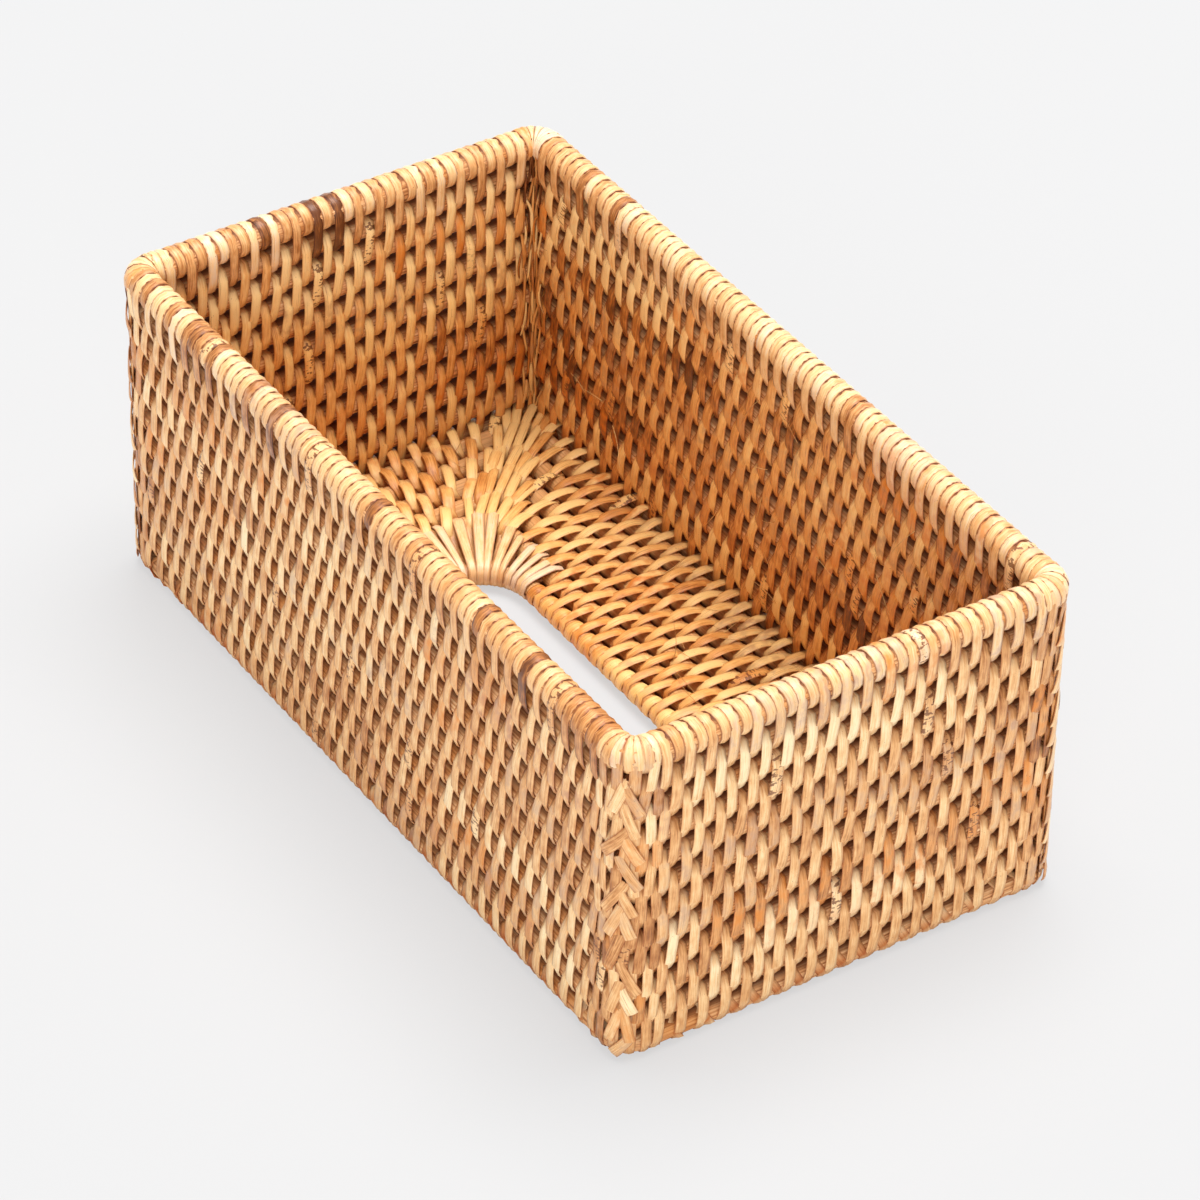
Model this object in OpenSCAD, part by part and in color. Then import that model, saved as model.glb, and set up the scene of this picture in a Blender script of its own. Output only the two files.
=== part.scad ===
// Woven tissue box cover, drawn as it stands on its slotted panel with the open mouth up.
// Round canes are stacked into walls and laid in rings into the panel. Loops of flat
// peel bind each cane to the next one, in a brick pattern.
// The origin is the middle of the footprint, on the surface that the cover stands on.

/* [Overall] */
// Length over the rim, along X
box_l = 254; // [236:1:320]
// Width over the rim, along Y
box_w = 138.6; // [90:0.2:157]
// Height from the surface to the top of the rim
box_h = 100.4; // [60:0.2:130]

/* [Slot] */
// Clear length of the slot in the panel
slot_l = 123; // [80:1:140]
// Clear width of the slot
slot_w = 26.4; // [14:0.2:40]

/* [Canes] */
// Diameter of the canes of the walls and the panel
cane_d = 6.9; // [6:0.1:9]
// Diameter of the cane in the rim
rim_cane_d = 8.5; // [7:0.1:11]
// Diameter of the cane round the slot
slot_cane_d = 5.5; // [4:0.1:7]
// Radius left open on the inside of the thickest bends, over the peel
bend_room = 0.4; // [0.2:0.1:6]

/* [Peel] */
// Thickness of the flat peel
peel_t = 0.5; // [0.3:0.05:0.8]
// Width of the peel
peel_w = 2.9; // [2:0.1:3.1]
// Gap between a peel and its cane
play = 0.05; // [0.02:0.01:0.15]
// Least distance from stitch to stitch on the long sides
long_pitch = 6.4; // [6.4:0.1:12]
// Least distance from stitch to stitch on the short sides
short_pitch = 6.5; // [6.4:0.1:12]
// Width of the narrow peel across the panel's corners
mitre_w = 1.6; // [1:0.1:2]

/* [Hidden] */
$fn = 48;

// Radii over the peel, and the room between two canes for the two peels that pass there
bound_r = cane_d / 2 + play + peel_t;
rim_r = rim_cane_d / 2 + play + peel_t;
slot_r = slot_cane_d / 2 + play + peel_t;
tuck = 2 * (peel_t + 2 * play);
bend_r = max(rim_r, bound_r) + bend_room;

// Half the length and width of the walls' centre line, and of its straight runs
wall_x = box_l / 2 - rim_r;
wall_y = box_w / 2 - rim_r;
run_x = wall_x - bend_r;
run_y = wall_y - bend_r;

// The wall's canes stand between the base cane and the rim
base_z = bound_r;
rim_z = box_h - rim_r;
rim_step = (cane_d + rim_cane_d) / 2 + tuck;
stack_h = rim_z - base_z - rim_step;
wall_n = floor(stack_h / (cane_d + tuck));
wall_step = stack_h / wall_n;

// Half the length and width of the slot cane's centre line, and of its straight run
slot_x = slot_l / 2 + slot_r;
slot_y = slot_w / 2 + slot_r;
slot_run = slot_x - slot_y;

// The panel's rings lie between the base cane and the slot cane
slot_step = (cane_d + slot_cane_d) / 2 + tuck;
spread = wall_y - slot_y - slot_step;
panel_n = floor(spread / (cane_d + tuck));
ring_step = spread / panel_n;

// Stitch places: whole steps fill each straight run from its middle
long_step = run_x / floor(run_x / long_pitch);
short_step = run_y / floor(run_y / short_pitch);

// Stitch places round a bend, in turn for two neighbouring courses
bend_places = 2 * floor((bend_r + bound_r) * PI / 2 / long_pitch) + 1;
bend_fill_share = 0.8;
bend_sweep = 90 / bend_places * bend_fill_share;

// The stitches at the slot's round ends keep to this share of the cane's half width
end_share = 0.7;

CORNERS = ["back_right", "back_left", "front_left", "front_right"];

// Height of a wall cane's centre, from 0 for the base cane
function cane_z(i) = base_z + i * wall_step;

// How far a ring's centre line lies inside that of the base cane
function ring_in(k) = k * ring_step;

// Courses are laid in turn on the half steps and on the whole steps
function wall_half(course) = course % 2 == 1 ? 0.5 : 0;
function panel_half(course) = course % 2 == 1 ? 0 : 0.5;

// Places on a run, on each side of its middle, that leave room for a peel at its ends
function places(step, run, half) = [
    for (j = [-ceil(run / step):ceil(run / step)])
        let (at = (j + half) * step)
            if (abs(at) <= run - peel_w / 2) at
];

// Round canes

// A closed cane with straight sides and round corners, lying at its own height
module hoop(half_x, half_y, bend, d) {
    for (turn = [0, 180]) rotate(turn) {
        translate([half_x, bend - half_y, 0]) rotate([-90, 0, 0]) cylinder(d = d, h = 2 * (half_y - bend));
        translate([bend - half_x, half_y, 0]) rotate([0, 90, 0]) cylinder(d = d, h = 2 * (half_x - bend));
        translate([half_x - bend, half_y - bend, 0]) rotate_extrude(angle = 90) translate([bend, 0]) circle(d = d);
        translate([bend - half_x, half_y - bend, 0])
            rotate(90) rotate_extrude(angle = 90) translate([bend, 0]) circle(d = d);
    }
}

module base_cane() {
    color("peru") translate([0, 0, base_z]) hoop(wall_x, wall_y, bend_r, cane_d);
}

module wall_cane(i) {
    color("peru") translate([0, 0, cane_z(i)]) hoop(wall_x, wall_y, bend_r, cane_d);
}

module rim_cane() {
    color("peru") translate([0, 0, rim_z]) hoop(wall_x, wall_y, bend_r, rim_cane_d);
}

module panel_cane(k) {
    color("peru") translate([0, 0, base_z]) hoop(wall_x - ring_in(k), wall_y - ring_in(k), bend_r, cane_d);
}

// The slot's cane has half circles for ends
module slot_cane() {
    color("peru") translate([0, 0, base_z]) for (turn = [0, 180]) rotate(turn) {
        translate([-slot_run, slot_y, 0]) rotate([0, 90, 0]) cylinder(d = slot_cane_d, h = 2 * slot_run);
        translate([slot_run, 0, 0])
            rotate(-90) rotate_extrude(angle = 180) translate([slot_y, 0]) circle(d = slot_cane_d);
    }
}

// Loops of peel

// Outline of a band laid round two circles, the second one a reach away along X
module band(reach, ra, rb) {
    circle(r = ra);
    translate([reach, 0]) circle(r = rb);
    polygon([[0, ra], [reach, rb], [reach, -rb], [0, -ra]]);
}

// Section of a peel round two canes of these diameters
module peel_loop(reach, da, db) {
    difference() {
        band(reach, da / 2 + play + peel_t, db / 2 + play + peel_t);
        band(reach, da / 2 + play, db / 2 + play);
    }
}

// A stitch round a cane at the origin and the next one above it, both along X
module upright_stitch(reach, da, db) {
    rotate([0, -90, 0]) linear_extrude(peel_w, center = true) peel_loop(reach, da, db);
}

// A stitch round a cane at the origin and the next one beside it along X, both along Y
module flat_stitch(reach, da, db, width) {
    rotate([90, 0, 0]) linear_extrude(width, center = true) peel_loop(reach, da, db);
}

// A peel wound once round one cane along X
module wrap(d) {
    rotate([0, 90, 0]) difference() {
        cylinder(r = d / 2 + play + peel_t, h = peel_w, center = true);
        cylinder(r = d / 2 + play, h = 2 * peel_w, center = true);
    }
}

// One course of stitches on the four walls, from the cane at height z to the one above it
module wall_course(z, reach, da, db, half) {
    for (turn = [0, 180]) rotate(turn) {
        for (x = places(long_step, run_x, half)) translate([x, wall_y, z]) upright_stitch(reach, da, db);
        for (y = places(short_step, run_y, half))
            translate([wall_x, y, z]) rotate(90) upright_stitch(reach, da, db);
    }
}

module wall_stitches(i) {
    color("burlywood") wall_course(cane_z(i - 1), wall_step, cane_d, cane_d, wall_half(i));
}

module rim_stitches() {
    color("wheat") wall_course(cane_z(wall_n), rim_step, cane_d, rim_cane_d, wall_half(wall_n + 1));
}

// Between its stitches the rim has a wrap of its own
module rim_wraps() {
    half = wall_half(wall_n);
    color("wheat") translate([0, 0, rim_z]) for (turn = [0, 180]) rotate(turn) {
        for (x = places(long_step, run_x, half)) translate([x, wall_y, 0]) wrap(rim_cane_d);
        for (y = places(short_step, run_y, half)) translate([wall_x, y, 0]) rotate(90) wrap(rim_cane_d);
    }
}

// One course of stitches on the panel's four sides, from one ring to the next one inside it
module panel_stitches(k) {
    inset = ring_in(k - 1);
    inner = ring_in(k);
    color("burlywood") translate([0, 0, base_z]) for (turn = [0, 180]) rotate(turn) {
        for (x = places(long_step, run_x - inner, panel_half(k)))
            translate([x, inset - wall_y, 0]) rotate(90) flat_stitch(ring_step, cane_d, cane_d, peel_w);
        for (y = places(short_step, run_y - inner, panel_half(k)))
            translate([inset - wall_x, y, 0]) flat_stitch(ring_step, cane_d, cane_d, peel_w);
    }
}

// A narrow stitch crosses each corner of the panel in every other course inside the first one
module mitre_stitches() {
    color("burlywood") for (k = [2:2:panel_n]) for (side = [0, 1]) mirror([0, side, 0]) for (turn = [0, 180])
        rotate(turn) mitre_stitch(k);
}

// How far the inside of a bend comes into a loop of this width that crosses it at its middle
function bend_sag(r, width) =
    width / 2 < r * sin(45) ? r - sqrt(r * r - width * width / 4) : r - r / sin(45) + width / 2;

module mitre_stitch(k) {
    inset = ring_in(k - 1) + bend_r * (1 - cos(45));
    give = bend_sag(bend_r - cane_d / 2, mitre_w);
    translate([inset - wall_x, inset - wall_y, base_z])
        rotate(45) flat_stitch(ring_step / cos(45) + give, cane_d, cane_d, mitre_w);
}

// The last ring is bound to the slot's cane along its sides
module slot_stitches() {
    reach = wall_y - ring_in(panel_n) - slot_y;
    side_run = min(slot_run, run_x - ring_in(panel_n));
    color("burlywood") translate([0, 0, base_z]) for (turn = [0, 180]) rotate(turn)
        for (x = places(long_step, side_run, panel_half(panel_n + 1)))
            translate([x, -slot_y - reach, 0]) rotate(90) flat_stitch(reach, cane_d, slot_cane_d, peel_w);
}

// Long stitches bind it at the slot's round ends as well
module slot_end_stitches() {
    color("burlywood") translate([0, 0, base_z]) for (turn = [0, 180]) rotate(turn)
        for (y = places(short_step, slot_y * end_share, panel_half(panel_n + 1))) end_stitch(y);
}

// An end stitch is longer by what the slanting cane takes up in its loop
module end_stitch(y) {
    slant = asin(abs(y) / slot_y);
    give = slot_cane_d / 2 * (1 / cos(slant) - 1) + peel_w / 2 * tan(slant);
    ring_x = wall_x - ring_in(panel_n);
    reach = ring_x - slot_run - slot_y * cos(slant) + give;
    translate([-ring_x, y, 0]) flat_stitch(reach, cane_d, slot_cane_d, peel_w);
}

module slot_wraps() {
    half = panel_half(panel_n);
    color("burlywood") translate([0, 0, base_z]) for (turn = [0, 180]) rotate(turn)
        for (x = places(long_step, slot_run, half)) translate([x, slot_y, 0]) wrap(slot_cane_d);
}

// Corner lashings

// A wedge of a loop, turned round the upright axis of the corner's bend
module bend_wedge(place) {
    rotate((place - 0.5) * 90 / bend_places - bend_sweep / 2)
        rotate_extrude(angle = bend_sweep) translate([bend_r, 0]) rotate(90) children();
}

// The stitches of every wall course, and the rim's own wraps, at one corner
module corner_lashing(c) {
    sx = c == 0 || c == 3 ? 1 : -1;
    sy = c < 2 ? 1 : -1;
    color("tan") translate([sx * run_x, sy * run_y, 0]) rotate(90 * c) {
        for (i = [1:wall_n]) translate([0, 0, cane_z(i - 1)])
            for (place = [1 + i % 2:2:bend_places]) bend_wedge(place) peel_loop(wall_step, cane_d, cane_d);
        translate([0, 0, cane_z(wall_n)])
            for (place = [1 + (wall_n + 1) % 2:2:bend_places])
                bend_wedge(place) peel_loop(rim_step, cane_d, rim_cane_d);
        translate([0, 0, rim_z])
            for (place = [1 + wall_n % 2:2:bend_places]) bend_wedge(place) difference() {
                circle(r = rim_r);
                circle(r = rim_cane_d / 2 + play);
            }
    }
}

base_cane();
rim_cane();
slot_cane();
for (i = [1:wall_n]) wall_cane(i);
for (k = [1:panel_n]) panel_cane(k);
for (i = [1:wall_n]) wall_stitches(i);
for (k = [1:panel_n]) panel_stitches(k);
rim_stitches();
rim_wraps();
slot_stitches();
slot_end_stitches();
slot_wraps();
mitre_stitches();
for (c = [0:3]) corner_lashing(c);
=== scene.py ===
# %% [markdown]
# # A woven tissue box cover
# The cover in the photograph is a coiled basket. Round rattan canes are stacked into walls and laid
# in rings into a panel with a slot, and flat peel, the shiny skin of the same plant, binds each cane
# to the next one. It stands on its slotted panel here, with its open mouth up.
#
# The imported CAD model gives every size. Its canes stay, with a material of their own. Its loops of
# peel are exact but plain, so each group of them is replaced by strips with a crown, a lean and a
# colour of their own, as cut and bent plant material has.

import math

import bpy
import numpy as np
from mathutils import Matrix, Vector


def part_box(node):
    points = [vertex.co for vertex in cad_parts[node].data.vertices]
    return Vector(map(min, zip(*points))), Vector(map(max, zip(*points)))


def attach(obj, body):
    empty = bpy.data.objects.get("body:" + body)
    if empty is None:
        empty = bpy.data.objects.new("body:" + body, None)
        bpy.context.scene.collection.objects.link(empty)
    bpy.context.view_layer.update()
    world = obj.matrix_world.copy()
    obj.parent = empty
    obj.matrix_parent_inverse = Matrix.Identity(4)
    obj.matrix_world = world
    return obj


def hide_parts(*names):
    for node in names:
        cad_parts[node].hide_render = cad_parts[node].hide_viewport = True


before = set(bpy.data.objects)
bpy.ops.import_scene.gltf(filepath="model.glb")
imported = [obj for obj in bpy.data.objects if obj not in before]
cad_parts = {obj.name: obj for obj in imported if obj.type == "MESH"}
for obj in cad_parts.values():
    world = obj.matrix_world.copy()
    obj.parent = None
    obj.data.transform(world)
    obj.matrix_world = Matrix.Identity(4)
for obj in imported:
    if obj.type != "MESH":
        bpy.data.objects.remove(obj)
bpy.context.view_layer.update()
MM = 0.001
UP = np.array([0.0, 0.0, 1.0])

# %% [markdown]
# ## Sizes
# Every place of a strip follows from the canes. The centre line of a ring of cane is its box, less
# half a diameter on each side, so all of them can be measured in the loaded model and nothing has to
# be typed twice. Only the peel's own sizes, the radius of the bends and the number of steps in half
# a side are named here.

# %% Measure the canes
PEEL_T = 0.5 * MM
PEEL_W = 2.9 * MM
PLAY = 0.05 * MM
BEND_R = 5.2 * MM
LONG_STEPS, SHORT_STEPS = 18, 9


def ring_of(node):
    """Diameter, height, half length and half width of the centre line of a ring of cane."""
    low, high = (np.array(corner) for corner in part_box(node))
    d = high[2] - low[2]
    return d, (low[2] + high[2]) / 2, high[0] - d / 2, high[1] - d / 2


CANE_D, BASE_Z, WALL_X, WALL_Y = ring_of("base_cane")
RIM_D, RIM_Z = ring_of("rim_cane")[:2]
SLOT_D, SLOT_Z, SLOT_X, SLOT_Y = ring_of("slot_cane")
ON_CANE, ON_RIM, ON_SLOT = (d / 2 + PLAY for d in (CANE_D, RIM_D, SLOT_D))
WALL_N = sum(node.startswith("wall_cane_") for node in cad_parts)
PANEL_N = sum(node.startswith("panel_cane_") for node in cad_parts)
HEIGHTS = [BASE_Z] + [ring_of(f"wall_cane_{i + 1}")[1] for i in range(WALL_N)] + [RIM_Z]
INSETS = [0.0] + [WALL_X - ring_of(f"panel_cane_{k + 1}")[2] for k in range(PANEL_N)]
RUN_X, RUN_Y = WALL_X - BEND_R, WALL_Y - BEND_R
SLOT_RUN = SLOT_X - SLOT_Y
LONG_STEP, SHORT_STEP = RUN_X / LONG_STEPS, RUN_Y / SHORT_STEPS
print(f"{WALL_N + 2} canes in the wall, {PANEL_N} rings in the panel")
print(f"stitches every {LONG_STEP / MM:.2f} and {SHORT_STEP / MM:.2f} mm")

# %% [markdown]
# ## Camera
# The camera's place was worked out from the box's edges in the photograph. It looks down on a corner
# through a long lens, so the far edges are only a little smaller than the near ones.

# %% Place the camera
azimuth, elevation, roll = np.radians([56.65, 37.417, 0.936])
DISTANCE = 1512.5 * MM
TARGET = np.array([10.71, 0.03, 45.72]) * MM
SENSOR_WIDTH, FOCAL_LENGTH = 36, 171.5
FARTHEST_SEEN = 20
back = np.array([
    math.sin(azimuth) * math.cos(elevation),
    -math.cos(azimuth) * math.cos(elevation),
    math.sin(elevation),
])
right = np.array([math.cos(azimuth), math.sin(azimuth), 0.0])
up = np.cross(back, right)
right, up = (
    math.cos(roll) * right + math.sin(roll) * up,
    math.cos(roll) * up - math.sin(roll) * right,
)
camera = bpy.data.objects.new("camera", bpy.data.cameras.new("camera"))
bpy.context.scene.collection.objects.link(camera)
camera.data.sensor_width = SENSOR_WIDTH
camera.data.lens = FOCAL_LENGTH
camera.data.clip_end = FARTHEST_SEEN
pose = np.eye(4)
pose[:3, 0], pose[:3, 1], pose[:3, 2], pose[:3, 3] = right, up, back, TARGET + DISTANCE * back
camera.matrix_world = Matrix(pose.tolist())
bpy.context.scene.camera = camera
print("camera at", np.round(pose[:3, 3], 3))

# %% [markdown]
# ## Shader maths
# A material is a sum of masks and colours. Written as node links it is hard to read, so a small class
# wraps a socket and lets Python's own signs add the nodes.

# %% A socket that can be used in sums


def srgb(red, green, blue):
    """A colour as a screen shows it, from 0 to 255, as the linear colour that a shader takes."""
    share = np.array([red, green, blue]) / 255
    return (*np.where(share <= 0.04045, share / 12.92, ((share + 0.055) / 1.055) ** 2.4), 1.0)


class Value:
    """A shader socket. A sign between two values adds the Math node that works it out."""

    def __init__(self, tree, socket):
        self.tree, self.socket = tree, socket

    def node(self, kind, settings=None, **sockets):
        """Adds a node of this kind, first its settings and then the values or links of its sockets.
        A socket goes by its name, with _ for a space, or by n and its number."""
        made = self.tree.nodes.new(kind)
        for name, value in (settings or {}).items():
            if name == "stops":
                ramp = made.color_ramp.elements
                while len(ramp) < len(value):
                    ramp.new(0.5)
                for element, (place, colour) in zip(ramp, value):
                    element.position, element.color = place, colour
            else:
                setattr(made, name, value)
        for name, value in sockets.items():
            key = int(name[1:]) if name[0] == "n" and name[1:].isdigit() else name.replace("_", " ")
            if isinstance(value, Value):
                self.tree.links.new(value.socket, made.inputs[key])
            else:
                made.inputs[key].default_value = value
        return made

    def of(self, socket):
        """Another socket of the same material."""
        return Value(self.tree, socket)

    def maths(self, operation, *values):
        """One Math node on these values."""
        sockets = {f"n{i}": value for i, value in enumerate(values)}
        return self.of(self.node("ShaderNodeMath", {"operation": operation}, **sockets).outputs[0])

    def __add__(self, other):
        return self.maths("ADD", self, other)

    def __sub__(self, other):
        return self.maths("SUBTRACT", self, other)

    def __rsub__(self, other):
        return self.maths("SUBTRACT", other, self)

    def __mul__(self, other):
        return self.maths("MULTIPLY", self, other)

    def __abs__(self):
        return self.maths("ABSOLUTE", self)

    __radd__, __rmul__ = __add__, __mul__

    def larger(self, other):
        """The larger of the two values."""
        return self.maths("MAXIMUM", self, other)

    def steps(self, low, high):
        """0 below low, 1 above high, and a smooth slope between them."""
        settings = {"interpolation_type": "SMOOTHSTEP"}
        made = self.node("ShaderNodeMapRange", settings, Value=self, From_Min=low, From_Max=high)
        return self.of(made.outputs[0])

    def mix(self, below, above, blend="MIX"):
        """The colour below where this mask is 0, and the colour above where it is 1."""
        settings = {"data_type": "RGBA", "blend_type": blend}
        return self.of(self.node("ShaderNodeMix", settings, n0=self, n6=below, n7=above).outputs[2])

    def axes(self):
        """The three parts of this vector."""
        return [self.of(axis) for axis in self.node("ShaderNodeSeparateXYZ", Vector=self).outputs]

    def vector(self, y, z):
        """The vector of this value and two more."""
        return self.of(self.node("ShaderNodeCombineXYZ", X=self, Y=y, Z=z).outputs[0])

    def noise(self, scale, detail=2.0, roughness=0.5):
        """Noise from 0 to 1 at this vector."""
        made = self.node("ShaderNodeTexNoise", Vector=self, Scale=scale, Detail=detail, Roughness=roughness)
        return self.of(made.outputs[0])

    def ramp(self, stops):
        """The colour at this value between the stops, each a place and its colour."""
        return self.of(self.node("ShaderNodeValToRGB", {"stops": stops}, Fac=self).outputs[0])


SPECULAR, COAT_ROUGHNESS = 0.35, 0.25


def new_material(name, roughness, coat=0.0):
    """A material, its shader and a value through which its nodes are added."""
    made = bpy.data.materials.new(name)
    made.use_nodes = True
    shader = made.node_tree.nodes["Principled BSDF"]
    shader.inputs["Roughness"].default_value = roughness
    shader.inputs["Specular IOR Level"].default_value = SPECULAR
    shader.inputs["Coat Weight"].default_value = coat
    shader.inputs["Coat Roughness"].default_value = COAT_ROUGHNESS
    return made, shader, Value(made.node_tree, None)


def connect(start, shader, colour, height, distance, roughness=None):
    """Links what varies over the surface: colour, a bump height in metres, and roughness."""
    links = start.tree.links
    links.new(colour.socket, shader.inputs["Base Color"])
    bump = start.node("ShaderNodeBump", Height=height, Distance=distance, Strength=1.0)
    links.new(bump.outputs[0], shader.inputs["Normal"])
    if roughness is not None:
        links.new(roughness.socket, shader.inputs["Roughness"])


def beyond_walls(place):
    """How far a place lies beyond the centre line of the walls: the larger of |x| less half their
    length and |y| less half their width. It is below 0 inside the box."""
    x, y, _ = place.axes()
    return (abs(x) - WALL_X).larger(abs(y) - WALL_Y)


print("mid grey as a shader takes it:", np.round(srgb(128, 128, 128), 3))

# %% [markdown]
# ## The cane
# Between the strips a little of the round cane shows. It is the matt core of the plant, with fine
# ribs that run along it. A rib keeps its place in the cane's section, so the noise is stretched: it
# changes quickly with the height and with the distance from the wall's line, and slowly along the
# cane. Object coordinates give both, because the nodes stand at the origin.
#
# A cane is painted darker where it lies in a gap beside its neighbour, as painted shade. That is on
# top and below in the walls, and on its sides in the panel, so the normal tells where.

# %% Material of the canes
CORE_ROUGHNESS = 0.7
RIBS_PER_M, PATCHES_PER_M = 1900, 60
ALONG_SHARE = 0.03
RIB_HEIGHT = 0.2 * MM
CORE = [(0.25, srgb(150, 92, 50)), (0.5, srgb(222, 164, 110)), (0.8, srgb(250, 212, 162))]
PATCH, PANEL_CORE, CANE_GAP_SHADE = srgb(236, 204, 160), srgb(216, 162, 98), srgb(112, 58, 24)
PANEL_STARTS = -4.2 * MM, -4.6 * MM
PANEL_TINT = 0.5


def cane_material():
    """Ribbed rattan core with wide darker patches, a deeper colour in the panel, and painted gap shade."""
    made, shader, start = new_material("rattan_core", CORE_ROUGHNESS)
    coordinates = start.node("ShaderNodeTexCoord").outputs
    place, normal = start.of(coordinates["Object"]), start.of(coordinates["Normal"])
    x, y, z = place.axes()
    beyond = beyond_walls(place)
    ribs = beyond.vector(z, (x + y) * ALONG_SHARE).noise(RIBS_PER_M, detail=1.0)
    patches = place.noise(PATCHES_PER_M, detail=3.0)
    colour = patches.steps(0.35, 0.7).mix(ribs.ramp(CORE), PATCH, "MULTIPLY")
    in_panel = beyond.steps(*PANEL_STARTS)
    colour = (in_panel * PANEL_TINT).mix(colour, PANEL_CORE)
    upward = abs(normal.axes()[2])
    facing = (1 - upward) + in_panel * (2 * upward - 1)
    # Painted shade: the cane turns dark where its normal points into a gap.
    colour = facing.steps(0.0, 0.4).mix(CANE_GAP_SHADE, colour)
    connect(start, shader, colour, ribs, RIB_HEIGHT)
    return made


CANE = cane_material()
for name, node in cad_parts.items():
    if "cane" in name:
        for material_slot in node.material_slots:
            material_slot.material = CANE
print("canes finished:", sum("cane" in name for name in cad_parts))

# %% [markdown]
# ## The peel
# Each strip takes a tone of its own between brown and cream. It is stored in the mesh, as is how
# orange or how grey the strip is, so that one material serves many strips. Fine fibres and splits run
# along a strip, here and there is a dark speck, and a few strips have cracked skin. Shade is painted
# into the colour too: the edges are darker where a strip falls away to its neighbours, the turns
# that the weave hides are darker, and inside the box the colour is warmer and its tones further apart.
#
# The pattern is noise on the strip's own UV map, in millimetres. Each kind is stretched in its own
# way: long for fibres and splits, short and wide for cracks. The strip's seed is its third axis, so
# no two strips are alike.

# %% Material of the peel
PEEL_ROUGHNESS = 0.42
PEEL_RELIEF = 0.25 * MM
SKIN = [
    (0.0, srgb(104, 56, 24)),
    (0.25, srgb(180, 114, 58)),
    (0.5, srgb(224, 166, 106)),
    (0.75, srgb(244, 202, 146)),
]
# The third colour here is the warm tint of painted shade inside the box.
ORANGE, GREY, INSIDE_SHADE = srgb(220, 132, 44), srgb(188, 144, 116), srgb(255, 234, 190)
SPLIT, SPECK, CRACK = srgb(150, 92, 48), srgb(98, 42, 14), srgb(112, 58, 26)
# The colour of the painted shade in the turns that dive into the gaps.
TURN_SHADE = srgb(190, 125, 65)
CRACKED_SEEDS = 0.965, 0.97
# Where the painted shade inside fades towards the mouth and by how much, then how far the inside's tones
# spread apart as painted highlights and shade.
INSIDE_SHADE_FADES, LESS_SHADE_AT_MOUTH = (50 * MM, 100 * MM), 0.4
MIDDLE_TONE, INSIDE_CONTRAST, BLOTCH_CONTRAST = 0.48, 1.1, 0.5
FIBRE_ROUGHNESS, HIDDEN_ROUGHNESS = 0.3, 0.5


def peel_material(name, coat, pale, inside_shade_share, edge_shade, edge_shade_from):
    """Peel whose colour follows the strip's tone. Inside the box a warm tint of painted shade is laid
    on, for light bounced round in there, as strongly as the fourth argument says and less near the
    mouth, and there the tones are spread further apart as painted highlights and shade. pale is the
    colour of the palest skin, and the last two arguments are the colour of the painted shade on the
    edges and the share of the half width where it begins."""
    made, shader, start = new_material(name, PEEL_ROUGHNESS, coat)

    def stored(attribute):
        return start.of(start.node("ShaderNodeAttribute", {"attribute_name": attribute}).outputs["Fac"])

    words = "tone", "orange", "grey", "seed", "edge", "fold"
    tone, orange, grey, seed, edge, fold = (stored(word) for word in words)
    along, across, _ = start.of(start.node("ShaderNodeUVMap", {"uv_map": "peel"}).outputs[0]).axes()

    def pattern(lengthwise, crosswise, apart, **noise):
        """Noise that changes at these rates along and across the strip, and from seed to seed."""
        return (along * lengthwise).vector(across * crosswise, seed * apart).noise(**noise)

    fibres = pattern(0.1, 1.6, 40, scale=1.6, detail=4.0, roughness=0.65)
    blotches = pattern(0.35, 0.5, 90, scale=0.8)
    specks = pattern(1.0, 1.3, 60, scale=2.1, roughness=0.7).steps(0.68, 0.74)
    splits = pattern(0.04, 3.0, 75, scale=1.7, roughness=0.6).steps(0.62, 0.68)
    cracks = pattern(1.0, 0.55, 30, scale=1.0, roughness=0.6).steps(0.54, 0.6)
    place = start.of(start.node("ShaderNodeTexCoord").outputs["Object"])
    # Painted shade: inside the box a warm, darker tint, weaker towards the mouth.
    inside = beyond_walls(place).steps(1 * MM, -1 * MM) * inside_shade_share
    inside = inside * (1 - place.axes()[2].steps(*INSIDE_SHADE_FADES) * LESS_SHADE_AT_MOUTH)

    # Inside, the tones are spread further apart: painted highlights and painted shade.
    depth = tone + inside * (tone - MIDDLE_TONE) * INSIDE_CONTRAST
    depth = depth + (fibres - 0.5) + (blotches - 0.5) * BLOTCH_CONTRAST
    colour = depth.ramp([*SKIN, (1.0, srgb(*pale))])
    # Each layer is a mask, its strength, its colour and the way in which it is laid on.
    layers = [
        (orange * blotches.steps(0.3, 0.7), 1.0, ORANGE, "MIX"),
        (grey * blotches.steps(0.35, 0.75), 1.0, GREY, "MIX"),
        (splits, 0.5, SPLIT, "MIX"),
        (specks, 0.8, SPECK, "MIX"),
        (cracks * seed.steps(*CRACKED_SEEDS), 0.85, CRACK, "MIX"),
        # Painted shade inside the box.
        (inside, 1.0, INSIDE_SHADE, "MULTIPLY"),
        # Painted shade: the edges darken where the strip falls away to its neighbours.
        (edge.steps(edge_shade_from, 1.0), 0.8, srgb(*edge_shade), "MULTIPLY"),
        # Painted shade: the turns that dive into the gaps are darker.
        (fold, 0.9, TURN_SHADE, "MULTIPLY"),
    ]
    for mask, strength, tint, blend in layers:
        colour = (mask * strength).mix(colour, tint, blend)
    roughness = fibres * FIBRE_ROUGHNESS + (PEEL_ROUGHNESS - FIBRE_ROUGHNESS / 2) + fold * HIDDEN_ROUGHNESS
    height = fibres * 0.5 - edge.steps(0.5, 1.0)
    connect(start, shader, colour, height, PEEL_RELIEF, roughness)
    return made


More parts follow.
